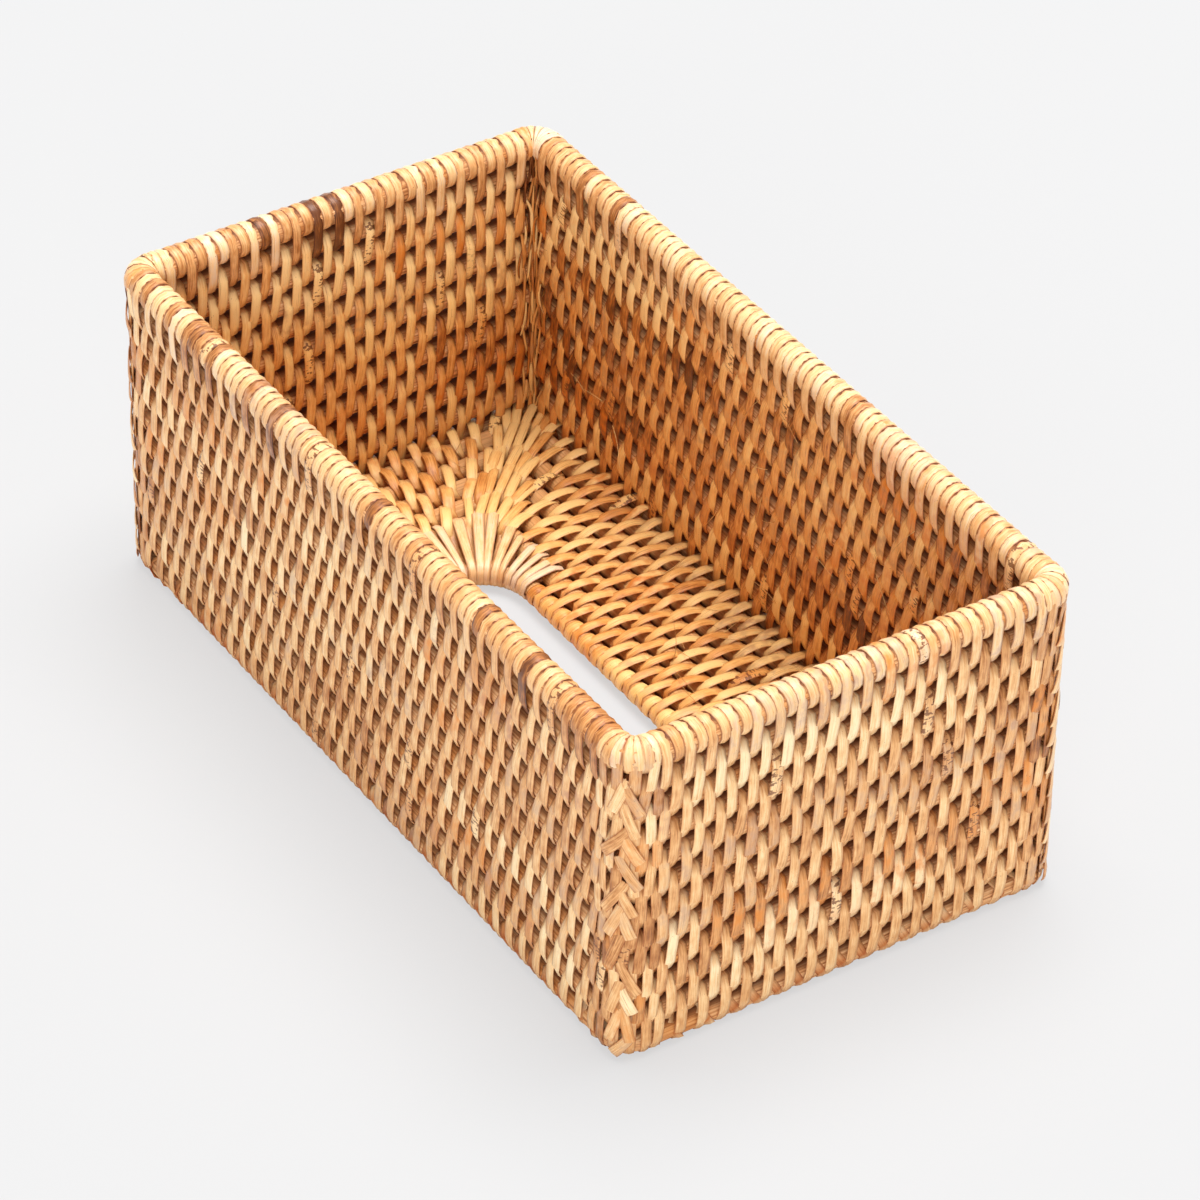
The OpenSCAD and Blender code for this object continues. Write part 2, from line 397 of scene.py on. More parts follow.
# The last two arguments of each peel are the colour of the painted edge shade and where it begins.
PEEL = peel_material(
    "rattan_peel", coat=0.12, pale=(252, 226, 180), inside_shade_share=1.0, edge_shade=(196, 138, 84), edge_shade_from=0.8
)
RIM_PEEL = peel_material(
    "rim_peel", coat=0.2, pale=(240, 212, 180), inside_shade_share=0.05, edge_shade=(160, 98, 52), edge_shade_from=0.7
)
print("nodes in the peel's material:", len(PEEL.node_tree.nodes))

# %% [markdown]
# ## A strip of peel
# Every strip is one profile carried along a path. The profile has five points: a low crown on top and
# a flat underside. Most paths are closed loops round two canes, worked out for all the strips of a
# course at once, as arrays with one row for each strip and one column for each point of the path.

# %% Paths round the canes
# The points of half a turn round a cane, those of a straight side as shares of the way, the points
# of a full turn, and the shares of a lean that go on into a turn.
ARC = np.linspace(np.pi / 2, 3 * np.pi / 2, 5)
WAY = np.array([0.25, 0.5, 0.75])
ROUND = np.linspace(0, 2 * np.pi, 14, endpoint=False)
LEAN_ON = np.array([1.0, 1.4, 0.5, 0.0, 0.0])


def column(size, count):
    """A size for each strip, as a column."""
    return np.broadcast_to(np.asarray(size, float), (count,))[:, None]


def unit(vectors):
    """The same directions with a length of 1."""
    return vectors / np.linalg.norm(vectors, axis=-1, keepdims=True)


def pair_loop(first, second, way_out, radius_a, radius_b, bulge=(0, 0), lean=(0, 0)):
    """Loops round two canes, from the places `first` to the places `second` on their centre lines.

    Half a circle runs round the first cane, from the outer side to the inner one. The inner side goes
    to the second cane in a low arch: height = bulge * (1 - (2 s - 1)^2) at the share s of the way.
    Half a circle runs round that cane, and the outer side comes back in an arch too. Bulge and lean
    are given for the outer and the inner side. Seen from its own side, a strip that leans has its
    far end moved to the right by the lean, and its near end to the left. The lean goes on into the
    turns by LEAN_ON and comes back where it is hidden. Gives each point's centre and its way out."""
    count = len(first)
    radius_a, radius_b, bulge, bulge_in, lean, lean_in = (
        column(size, count) for size in (radius_a, radius_b, *bulge, *lean)
    )
    reach = np.linalg.norm(second - first, axis=1)[:, None]
    forward = (second - first) / reach
    way_out = unit(way_out - forward * np.sum(way_out * forward, axis=1, keepdims=True))
    along = np.cross(forward, way_out)
    cos, sin = np.cos(ARC)[None, :], np.sin(ARC)[None, :]
    level, hump = radius_a + (radius_b - radius_a) * WAY, 1 - (2 * WAY - 1) ** 2
    outer = (level + bulge * hump)[:, ::-1]
    b = np.hstack([radius_a * cos, reach * WAY, reach - radius_b * cos, reach * WAY[::-1]])
    c = np.hstack([radius_a * sin, -level - bulge_in * hump, -radius_b * sin, outer])
    normal_b = np.hstack([cos[0], WAY - 0.5, -cos[0], WAY[::-1] - 0.5])[None, :, None]
    normal_c = np.hstack([sin[0], WAY * 0 - 1, -sin[0], WAY * 0 + 1])[None, :, None]
    slide = np.hstack([
        lean_in * LEAN_ON[::-1] - lean * LEAN_ON,
        lean_in * (1 - 2 * WAY),
        lean * LEAN_ON[::-1] - lean_in * LEAN_ON,
        lean * (2 * WAY[::-1] - 1),
    ])
    centre = first[:, None] + forward[:, None] * b[..., None] + way_out[:, None] * c[..., None]
    centre = centre + along[:, None] * slide[..., None]
    return centre, unit(forward[:, None] * normal_b + way_out[:, None] * normal_c)


def single_loop(place, along, way_out, radius, lean):
    """Loops round one cane, square to it but for the lean, which moves the top against the bottom."""
    lean = column(lean, len(place))
    forward = np.cross(way_out, along)
    cos, sin = np.cos(ROUND)[None, :], np.sin(ROUND)[None, :]
    out = forward[:, None] * cos[..., None] + way_out[:, None] * sin[..., None]
    return place[:, None] + out * radius + along[:, None] * (lean * sin)[..., None], out


print("points in a loop round two canes:", 2 * (len(ARC) + len(WAY)))

# %% [markdown]
# A strip isn't the same all the way round. In its turns it dives into the gap between two
# neighbours, where it is narrower and painted darker, as painted shade. The shade tables below say
# how much painted shade each point takes, and LEAF and POINTED how wide. In the walls, the inner side
# of a strip is tucked in under the course below at its lower end, and lies over the course above at
# its upper end.

# %% What changes along a loop
TURNING = np.abs(np.cos(ARC))
NARROWER = 0.15 * TURNING**3
TUCKED = 0.3 * MM


def by_turn(turn, first=1.0, second=1.0):
    """A value for each point of a pair loop: 0 on its straight sides, and in its turns the values
    `turn`, times first or second."""
    return np.concatenate([turn * first, 0 * WAY, turn * second, 0 * WAY])[None, :]


# Painted shade in the turns. On the rim's stitches it falls only round the lower cane, not round the rim.
GAP_SHADE, RIM_GAP_SHADE = by_turn(TURNING**4), by_turn(TURNING**4, second=0)
LEAF, RIM_LEAF = 1 - by_turn(NARROWER), 1 - by_turn(NARROWER, second=0)
POINTED = 1 - by_turn(0.04 + 0.4 * TURNING**2, first=0.5, second=1.1)
INSIDE = np.concatenate([
    np.clip(-np.sin(ARC), 0, 1),
    0 * WAY + 1,
    np.clip(np.sin(ARC), 0, 1),
    0 * WAY,
])
TUCK = INSIDE * np.concatenate([0 * ARC + 1, 1 - 2 * WAY, 0 * ARC - 1, 0 * WAY]) * TUCKED
print("narrowest share of a panel strip's width:", np.round(POINTED.min(), 2))

# %% [markdown]
# The mesh of a group of strips is built in one go, as its points, its faces and its UV map. What the
# material reads, such as the tone, is stored at the points.

# %% A mesh from paths
PROFILE_ACROSS = np.array([-1.0, 0.0, 1.0, 0.9, -0.9])
PROFILE_OUT = np.array([0.4, 1.0, 0.4, 0.0, 0.0])
UV_ACROSS = np.array([[0, 0, 0.5, 0.5], [0.5, 0.5, 1, 1], [1, 1, 1, 1], [1, 1, 0, 0], [0, 0, 0, 0]])
SHARP_ANGLE = 50


def strip_points(centre, out, width, thick, closed):
    """Point = centre + across * half width * s + out * thickness * t, where s and t are the profile's
    points and across is square to the path and to the way out."""
    if closed:
        ahead = np.roll(centre, -1, axis=1) - np.roll(centre, 1, axis=1)
    else:
        ahead = np.gradient(centre, axis=1)
    across = unit(np.cross(out, ahead))
    half_width = np.broadcast_to(width, centre.shape[:2]) / 2
    return (
        centre[:, :, None, :]
        + across[:, :, None, :] * (half_width[:, :, None] * PROFILE_ACROSS)[..., None]
        + out[:, :, None, :] * (thick * PROFILE_OUT)[None, None, :, None]
    )


def strip_faces(index, closed):
    """The corners of all the faces in a row, and where each face starts in it. index is each point's
    number by strip, place and side. Four-sided faces lie between the places, and an open strip has
    a cap at each end."""
    ahead = np.roll(index, -1, axis=1)
    quads = np.stack([index, ahead, np.roll(ahead, -1, axis=2), np.roll(index, -1, axis=2)], -1)
    if closed:
        return quads.ravel(), np.arange(quads.size // 4) * 4
    quads = quads[:, :-1]
    caps = np.concatenate([index[:, 0, :], index[:, -1, ::-1]])
    cap_starts = quads.size + np.arange(len(caps)) * index.shape[2]
    starts = np.concatenate([np.arange(quads.size // 4) * 4, cap_starts])
    return np.concatenate([quads.ravel(), caps.ravel()]), starts


def strip_uvs(centre, corners, closed):
    """The UV of each corner in millimetres: how far along the path, and how far across the strip.
    The corners of the caps have none."""
    step = np.linalg.norm(np.roll(centre, -1, axis=1) - centre, axis=2)
    along = np.cumsum(np.hstack([np.zeros((len(centre), 1)), step]), axis=1) / MM
    if not closed:
        along = along[:, :-1]
    u = np.stack([along[:, :-1], along[:, 1:], along[:, 1:], along[:, :-1]], -1)[:, :, None, :]
    v = UV_ACROSS[None, None] * PEEL_W / MM
    uv = np.stack(np.broadcast_arrays(u, v), -1).reshape(-1, 2)
    return np.concatenate([uv, np.zeros((corners - len(uv), 2))])


def strips_object(name, centre, out, width, looks, material, fold=0.0, thick=PEEL_T, closed=True):
    """Strips as one object. centre and out are by strip, place and axis. The shade mask is 1 where
    a strip is hidden in a gap, and there it takes the full painted shade."""
    count, places = centre.shape[:2]
    index = np.arange(count * places * len(PROFILE_ACROSS)).reshape(count, places, -1)
    corners, starts = strip_faces(index, closed)
    mesh = bpy.data.meshes.new(name)
    mesh.vertices.add(index.size)
    mesh.vertices.foreach_set("co", strip_points(centre, out, width, thick, closed).ravel())
    mesh.loops.add(len(corners))
    mesh.loops.foreach_set("vertex_index", corners)
    mesh.polygons.add(len(starts))
    mesh.polygons.foreach_set("loop_start", starts)
    mesh.polygons.foreach_set("use_smooth", np.ones(len(starts), bool))
    uvs = strip_uvs(centre, len(corners), closed)
    mesh.uv_layers.new(name="peel").data.foreach_set("uv", uvs.ravel())

    fold = np.broadcast_to(fold, (count, places))[:, :, None]
    for word, values in dict(looks, fold=fold, edge=np.abs(PROFILE_ACROSS)[None, None, :]).items():
        values = values if values.ndim == 3 else values[:, None, None]
        layer = mesh.attributes.new(word, "FLOAT", "POINT")
        layer.data.foreach_set("value", np.broadcast_to(values, index.shape).ravel())
    mesh.update(calc_edges=True)
    mesh.set_sharp_from_angle(angle=math.radians(SHARP_ANGLE))
    mesh.materials.append(material)
    made = bpy.data.objects.new(name, mesh)
    bpy.context.scene.collection.objects.link(made)
    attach(made, "root")
    return made


# %% [markdown]
# ## Tones and chance
# One long peel makes many stitches, so neighbours in a course look alike, and then the next peel
# starts with another tone. The tones are drawn in runs: a run has one tone, and each strip in it
# differs a little. All chance comes from one seeded source, so the cover is the same each time.

# %% Tones in runs, and sizes by chance
chance = np.random.default_rng(7)
DARKEST_RUN, DARKEST_STRIP, PALEST = 0.08, 0.05, 1.0
WITHIN_RUN = 0.07
TINGE = 0.4, 0.9
# For each group of strips: the middle of its tones and their spread, the shortest and the longest run,
# and the shares of the runs with an orange and with a grey tinge.
LOOKS = {
    "walls": (0.62, 0.12, 3, 14, 0.22, 0.2),
    "rim": (0.73, 0.12, 3, 16, 0.12, 0.15),
    "rim bend": (0.7, 0.12, 1, 3, 0.2, 0.1),
    "spokes": (0.5, 0.16, 1, 3, 0.2, 0.2),
    "chevrons": (0.64, 0.16, 1, 2, 0.2, 0.35),
    "panel": (0.7, 0.13, 1, 7, 0.3, 0.12),
    "diagonals": (0.7, 0.1, 1, 2, 0.1, 0.12),
    "slot stitches": (0.7, 0.14, 3, 14, 0.25, 0.12),
    "slot wraps": (0.62, 0.1, 3, 14, 0.25, 0.12),
    "slot fans": (0.8, 0.1, 1, 4, 0.08, 0.08),
    "fibres": (0.8, 0.15, 1, 1, 0.2, 0.1),
    "split ends": (0.65, 0.25, 1, 1, 0.2, 0.2),
}


def looks_of(group, count):
    """Tone, orange, grey and seed of each strip of a group, drawn in runs by its line in LOOKS."""
    middle, spread, shortest, longest, orange, grey = LOOKS[group]
    run = np.repeat(np.arange(count), chance.integers(shortest, longest + 1, count))[:count]
    tone = np.clip(chance.normal(middle, spread, count), DARKEST_RUN, PALEST)[run]
    tone = tone + chance.normal(0, WITHIN_RUN, count)
    return {
        "tone": np.clip(tone, DARKEST_STRIP, PALEST),
        "orange": (chance.random(count) < orange)[run] * chance.uniform(*TINGE, count),
        "grey": (chance.random(count) < grey)[run] * chance.uniform(*TINGE, count),
        "seed": chance.random(count),
    }


def around(middle, spread, *shape):
    """Sizes in metres, drawn about a middle one. The middle and the spread are in millimetres."""
    return chance.normal(middle, spread, shape) * MM


def between(low, high, *shape):
    """Sizes in metres, drawn between two that are in millimetres."""
    return chance.uniform(low, high, shape) * MM


print("groups of strips with looks of their own:", len(LOOKS))

# %% [markdown]
# ## Places round the box
# A course goes along each of the four sides at even steps. The stitches of the next course sit on the
# half steps, which gives the bricked look of the weave.

# %% Places along the sides
SIDES = [
    (np.array([0.0, -1.0, 0.0]), WALL_Y, RUN_X, LONG_STEP),
    (np.array([1.0, 0.0, 0.0]), WALL_X, RUN_Y, SHORT_STEP),
    (np.array([0.0, 1.0, 0.0]), WALL_Y, RUN_X, LONG_STEP),
    (np.array([-1.0, 0.0, 0.0]), WALL_X, RUN_Y, SHORT_STEP),
]
# How far a stitch lies off its step, as a middle and a spread in millimetres.
OFF_STEP = 0, 0.12
TINY = 1e-9


def half_of(course):
    """The half step of a course: odd courses lie on the half steps, even ones on the whole."""
    return 0.5 if course % 2 else 0.0


def even_places(run, step, half):
    """Even places along a run, on the whole or on the half steps, with room at its ends."""
    most = int(run / step) + 1
    places = (np.arange(-most, most + 1) + half) * step
    return places[np.abs(places) <= run - PEEL_W / 2 + TINY]


def along_sides(half, inset=0.0):
    """The place along its side, the side's outward way, its way along, the wall's distance and the
    run's half length, for each stitch of a course round the box. inset is the inner ring's."""
    rows = []
    for outward, depth, run, step in SIDES:
        at = even_places(run - inset, step, half)
        along = np.array([-outward[1], outward[0], 0.0])
        rows.append((
            at,
            np.tile(outward, (len(at), 1)),
            np.tile(along, (len(at), 1)),
            np.full(len(at), depth),
            np.full(len(at), run - inset),
        ))
    return [np.concatenate(parts) for parts in zip(*rows)]


RIM_STITCH_N, RIM_WRAP_N = (len(along_sides(half_of(course))[0]) for course in (WALL_N + 1, WALL_N))
print("stitches and wraps on the rim:", RIM_STITCH_N, RIM_WRAP_N)

# %% [markdown]
# ## The walls
# Eleven courses bind the twelve canes. Each strip goes round two canes and fills the gap that the
# course below leaves. No two strips of a real basket are the same width or lean alike, so both are
# drawn from a narrow range. Such a range, or a middle and a spread, is in millimetres.
#
# The rim is stained, most of all round the front left corner, so its tones are drawn first, for its
# stitches and the wraps between them in turn. They go round the box from the left end of the front
# side. Each of STAINED_SHARES holds for as many of them as STAINED_COUNTS says.

# %% Tones of the rim
FRONT_FAR, FRONT_NEAR = slice(0, 36), slice(36, 72)
STAINED_SHARES, STAINED_COUNTS = [0.3, 0.03, 0.1, 0.55], [24, 158, 12, 22]
STAIN, FRONT_FAR_SHADE, FRONT_NEAR_SHADE, FRONT_NEAR_SHADE_ORANGE = 0.4, 0.06, 0.24, 0.15
RIM_LOOKS = looks_of("rim", 2 * RIM_STITCH_N)
# Painted shade: the front side of the rim is darker, most of all on its half by the front right corner,
# which is also oranger.
RIM_LOOKS["tone"][FRONT_FAR] -= FRONT_FAR_SHADE
RIM_LOOKS["tone"][FRONT_NEAR] -= FRONT_NEAR_SHADE
RIM_LOOKS["orange"][FRONT_NEAR] += FRONT_NEAR_SHADE_ORANGE
stained = chance.random(2 * RIM_STITCH_N) < np.repeat(STAINED_SHARES, STAINED_COUNTS)
RIM_LOOKS["tone"] -= np.where(stained, STAIN, 0)
STITCH_LOOKS = {word: values[::2] for word, values in RIM_LOOKS.items()}
WRAP_LOOKS = {word: values[1::2][:RIM_WRAP_N] for word, values in RIM_LOOKS.items()}
print("stained strips on the rim:", stained.sum())

# %% Stitches of the walls
OVERLAP = 0.3 * MM
WALL_WIDTHS, WALL_ARCH = (3.1, 3.6), (0.25, 0.15)
OUTER_LEAN, INNER_LEAN, SHORT_LEANS_LESS = (0.4, 0.2), (0.75, 0.2), 0.5 * MM
INNER_WIDER, SHORT_NARROWER = 0.12, 0.24
RIM_LEAN_SHARE = 0.3
BACK_WALL_SHADE = 0.1


def wall_course(course):
    """The stitches that bind a cane of the wall to the one above it. The last course binds the rim.
    Inside, a strip of a short side leans less and is narrower than one of a long side."""
    top = course == WALL_N + 1
    at, outward, along, depth, _ = along_sides(half_of(course))
    count = len(at)
    short = np.abs(outward[:, 0])
    at = at + around(*OFF_STEP, count)
    first = outward * depth[:, None] + along * at[:, None] + UP * HEIGHTS[course - 1]
    second = first + UP * (HEIGHTS[course] - HEIGHTS[course - 1])
    bulge = np.abs(around(*WALL_ARCH, 2, count))
    lean = [around(*OUTER_LEAN, count), around(*INNER_LEAN, count) - SHORT_LEANS_LESS * short]
    if top:
        lean = [side * RIM_LEAN_SHARE for side in lean]
    radius_a = ON_CANE + (0 if course == 1 else OVERLAP)
    centre, out = pair_loop(first, second, outward, radius_a, ON_RIM if top else ON_CANE, bulge, lean)
    if top:
        name, replaced, material = "rim_binding", "rim_stitches", RIM_PEEL
        looks, fold, leaf = STITCH_LOOKS, RIM_GAP_SHADE, RIM_LEAF
    else:
        name, replaced, material = f"wall_weave_{course}", f"wall_stitches_{course}", PEEL
        looks, fold, leaf = looks_of("walls", count), GAP_SHADE, LEAF
        # Painted shade: the back wall's strips are darker, as its inner side lies in the box's shade.
        looks["tone"] -= BACK_WALL_SHADE * (outward[:, 1] > 0.5)
        centre = centre + outward[:, None] * TUCK[None, :, None]
    inner_width = 1 + (INNER_WIDER - SHORT_NARROWER * short)[:, None] * INSIDE
    width = between(*WALL_WIDTHS, count)[:, None] * leaf * inner_width
    made = strips_object(name, centre, out, width, looks, material, fold)
    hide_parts(replaced)
    return count


print("strips in the walls:", sum(wall_course(course + 1) for course in range(WALL_N + 1)))

# %% [markdown]
# ## The rim
# Between the stitches that bind the rim down, the peel goes once round the rim alone, so the rim is
# covered all the way with bands that almost touch.

# %% Wraps round the rim
WRAP_WIDTHS, WRAP_LEAN, WRAP_OFF_STEP = (3.05, 3.3), (0.5, 0.2), (0, 0.1)


def rim_wraps():
    """One wrap between each two stitches of the rim, so they sit on the other half steps."""
    at, outward, along, depth, _ = along_sides(half_of(WALL_N))
    count = len(at)
    at = at + around(*WRAP_OFF_STEP, count)
    place = outward * depth[:, None] + along * at[:, None] + UP * RIM_Z
    centre, out = single_loop(place, along, outward, ON_RIM, around(*WRAP_LEAN, count))
    width = between(*WRAP_WIDTHS, count)[:, None]
    made = strips_object("rim_bands", centre, out, width, WRAP_LOOKS, RIM_PEEL)
    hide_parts("rim_wraps")
    return count


print("wraps round the rim:", rim_wraps())

# %% [markdown]
# ## The corners
# Round each corner the courses go on with four or five upright loops, like spokes about the bend.
# Over them lie more strips, most of them in pairs, that start at the corner's edge and spread out
# downwards, like a chevron. Glossy wraps cover the bend of the rim. A place in a bend is given by the
# distance along the cane from the corner's middle, so a leaning strip can run out of the bend into
# the straight side.

# %% Places round a corner
HALF_BEND = BEND_R * math.pi / 4
CORNERS = {
    "back_right": (1, 1, 0.0),
    "back_left": (-1, 1, math.pi / 2),
    "front_left": (-1, -1, math.pi),
    "front_right": (1, -1, 3 * math.pi / 2),
}


def round_corner(corner, q, c, z):
    """The point at distance q along the wall's line from the corner's middle, c out of it and at the
    height z, and the way out there. Works on whole arrays."""
    side_x, side_y, start = CORNERS[corner]
    bent = np.clip(q, -HALF_BEND, HALF_BEND)
    turn = start + math.pi / 4 + bent / BEND_R
    out = np.stack([np.cos(turn), np.sin(turn), 0 * turn], -1)
    along = np.stack([-np.sin(turn), np.cos(turn), 0 * turn], -1)
    middle = np.array([side_x * RUN_X, side_y * RUN_Y, 0.0])
    place = middle + out * (BEND_R + c)[..., None] + along * (q - bent)[..., None] + UP * z[..., None]
    return place, out


print(f"half a bend is {HALF_BEND / MM:.1f} mm long")

# %% Spokes round the corners
ODD_SPOKES = np.array([-3.8, -1.26, 1.26, 3.8]) * MM
EVEN_SPOKES = np.array([-5.6, -2.5, 0.0, 2.5, 5.6]) * MM
SPOKE_W, SPOKE_ARCH = 3.1 * MM, 0.1 * MM
SPOKE_LEAN, SPOKE_INNER_LEAN = (0.2, 0.2), (0.3, 0.5)
LEAST_WIDTH_SHARE = 0.3


def spokes(corner):
    """Upright loops of every course. They are narrower inside, where the bend draws them together."""
    side_x, side_y, _ = CORNERS[corner]
    heights = np.array(HEIGHTS)
    courses = np.arange(1, WALL_N + 2)
    rows = [ODD_SPOKES if course % 2 else EVEN_SPOKES for course in courses]
    course, q = np.repeat(courses, [len(row) for row in rows]), np.concatenate(rows)
    count = len(q)
    low, radial = round_corner(corner, q, 0 * q, heights[course - 1])
    high, _ = round_corner(corner, q, 0 * q, heights[course])
    lean = [around(*SPOKE_LEAN, count), around(*SPOKE_INNER_LEAN, count)]
    radius_b = np.where(course == WALL_N + 1, ON_RIM, ON_CANE)
    centre, out = pair_loop(low, high, radial, ON_CANE, radius_b, (SPOKE_ARCH, 0), lean)
    from_middle = np.linalg.norm(centre[..., :2] - [side_x * RUN_X, side_y * RUN_Y], axis=-1)
    width = SPOKE_W * np.clip(from_middle / (BEND_R + CANE_D / 2), LEAST_WIDTH_SHARE, 1) * LEAF
    looks = looks_of("spokes", count)
    made = strips_object(f"corner_spokes_{corner}", centre, out, width, looks, PEEL, GAP_SHADE)
    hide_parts(f"corner_lashing_{corner}")
    return count


print("spokes of an odd and of an even course:", len(ODD_SPOKES), len(EVEN_SPOKES))

# %% Chevrons over the corners
CHEVRON_SHARE = 0.82
CHEVRON_WIDTHS, CHEVRON_TOP, CHEVRON_RISE, CHEVRON_DROP = (2.8, 3.4), (-1.2, 0.4), (-0.4, 2.2), (8.8, 11.4)
SHORT_REACH, LONG_REACH, LOWEST_REACH_SHARE = 2.3, 3.5, 0.5
REACH_SHARES = 0.5, 1
LOWEST_END = 2.2 * MM


def chevrons(corner):
    """Open strips that run down and away from the corner's edge over one cane, less far on the short
    side. At the share t of the way the place is q_top + (q_low - q_top) t. The upper end lies closer
    to the cane than the lower one, and both dip towards it by 0.4 mm * (2 t - 1)^6."""
    side_x, side_y, _ = CORNERS[corner]
    cane, way = np.repeat(np.arange(WALL_N + 1), 2), np.tile([-1, 1], WALL_N + 1)
    count = len(cane)
    short_way = 1 if side_x * side_y < 0 else -1
    longest = np.where(way == short_way, SHORT_REACH, LONG_REACH)
    longest = longest * np.where(cane == 0, LOWEST_REACH_SHARE, 1)
    q_low = way * longest * between(*REACH_SHARES, count)
    q_top = way * between(*CHEVRON_TOP, count)
    z_top = np.array(HEIGHTS)[cane] + CANE_D / 2 + between(*CHEVRON_RISE, count)
    drop = np.minimum(between(*CHEVRON_DROP, count), z_top - LOWEST_END)
    kept = chance.random(count) < CHEVRON_SHARE
    q_low, q_top, z_top, drop = (sizes[kept, None] for sizes in (q_low, q_top, z_top, drop))
    count = kept.sum()
    t = np.linspace(0, 1, 9)[None, :]
    q = q_top + (q_low - q_top) * t
    lift = (0.4 + 0.6 * t - 0.4 * (2 * t - 1) ** 6) * MM
    centre, out = round_corner(corner, q, ON_CANE + lift + 0 * q, z_top - drop * t)
    width = between(*CHEVRON_WIDTHS, count)[:, None]
    looks = looks_of("chevrons", count)
    made = strips_object(f"corner_chevrons_{corner}", centre, out, width, looks, PEEL, closed=False)
    return count


print("share of the chevrons' strips that is kept:", CHEVRON_SHARE)

# %% Wraps round the rim's bends
RIM_BEND_N = 7
RIM_BEND_STEP = BEND_R * math.pi / 10
ON_RIM_BEND = ON_RIM + 0.1 * MM
BEND_WIDTH, BESIDE_WIDTH, LEAST_BEND_SHARE = 3.4, 2.4, 0.2
BEND_OFF_STEP, BEND_SLANT, DRAWN_TOGETHER = (0, 0.15), (0, 0.5), 0.12


def rim_bend(corner):
    """Wraps round the rim's bend, each from q_top over it to q_low under it. On the inner side they
    draw together and get narrower, because the bend is short there."""
    count = RIM_BEND_N
    q_top = (np.arange(count) - (count - 1) / 2) * RIM_BEND_STEP + around(*BEND_OFF_STEP, count)
    q_low = (q_top + around(*BEND_SLANT, count))[:, None]
    q_top = q_top[:, None]
    sin, cos = np.sin(ROUND)[None, :], np.cos(ROUND)[None, :]
    q = (q_top + (q_low - q_top) * (1 - cos) / 2) * np.where(sin < 0, 1 + DRAWN_TOGETHER * sin, 1)
    centre, radial = round_corner(corner, q, ON_RIM_BEND * sin, RIM_Z + ON_RIM_BEND * cos)
    out = radial * sin[..., None] + UP * cos[..., None]
    narrower = np.clip((BEND_R + ON_RIM_BEND * sin) / (BEND_R + ON_RIM_BEND), LEAST_BEND_SHARE, 1)
    width = np.where(np.abs(q_top) < HALF_BEND, BEND_WIDTH * narrower, BESIDE_WIDTH) * MM
    looks = looks_of("rim bend", count)
    made = strips_object(f"rim_corner_{corner}", centre, out, width, looks, RIM_PEEL)
    return count


corner_counts = [spokes(corner) + chevrons(corner) + rim_bend(corner) for corner in CORNERS]
print("strips at the corners:", corner_counts)

# %% [markdown]
# ## The panel
# The panel's rings are bound like the wall, only lying flat. Near a corner the outer ends of the
# strips slide on towards the diagonal. On the short sides each course is moved on by a share of a
# step, so that the leaning strips of neighbouring courses lie beside each other.

# %% Stitches of the panel
FAN_RUN = 18 * MM
FAN_SHARE = 0.7
DRIFT_SHARE = 0.36
PANEL_WIDTHS, PANEL_ARCH, PANEL_LEAN = (3.0, 3.6), (0.7, 0.25), (0.35, 0.2)
SHORT_ARCHES_MORE, SHORT_LEANS_MORE, SHORT_DARKER = 0.5 * MM, 0.65 * MM, 0.06


def panel_course(k):
    """The stitches that bind ring k of the panel to the ring outside it. Near a corner, the outer
    end slides on by the rings' distance * FAN_SHARE * s^1.5, where s is the share of FAN_RUN gone."""
    at, outward, along, depth, run = along_sides(half_of(k + 1), INSETS[k])
    count = len(at)
    short = np.abs(outward[:, 0])
    moved = (DRIFT_SHARE * (k - 1) + 0.5) % 1 - 0.5
    at = at + around(*OFF_STEP, count) + short * moved * SHORT_STEP
    gone = np.clip((np.abs(at) - (run - FAN_RUN)) / FAN_RUN, 0, 1)
    at_out = at + np.sign(at) * gone**1.5 * (INSETS[k] - INSETS[k - 1]) * FAN_SHARE
    first = outward * (depth - INSETS[k - 1])[:, None] + along * at_out[:, None] + UP * BASE_Z
    second = outward * (depth - INSETS[k])[:, None] + along * at[:, None] + UP * BASE_Z
    bulge = np.abs(around(*PANEL_ARCH, count)) + SHORT_ARCHES_MORE * short
    lean = around(*PANEL_LEAN, count) + SHORT_LEANS_MORE * short
    way_up = np.tile(UP, (count, 1))
    centre, out = pair_loop(first, second, way_up, ON_CANE, ON_CANE + OVERLAP, (bulge, 0), (lean, lean))
    width = between(*PANEL_WIDTHS, count)[:, None] * POINTED
    looks = looks_of("panel", count)
    looks["tone"] -= SHORT_DARKER * short
    made = strips_object(f"panel_weave_{k}", centre, out, width, looks, PEEL, GAP_SHADE)
    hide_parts(f"panel_stitches_{k}")
    return count


print("strips in the panel:", sum(panel_course(k + 1) for k in range(PANEL_N)))

# %% [markdown]
# Over each diagonal a few long strips fan out, from every ring's bend to the ring outside it. The
# outermost strips of a fan end beyond the bends, on the straight sides.

# %% Long strips over the diagonals
FAN_TURN = 0.6
FAN_SLIDES = np.array([[0, 0], [0, 1.8], [3.0, 5.8]]) * MM
FAN_WIDTHS, FAN_OFF_PLACE, FAN_HEIGHTS, FAN_ARCH = (2.5, 3.1), (0, 0.5), (0.1, 0.8), 0.2 * MM


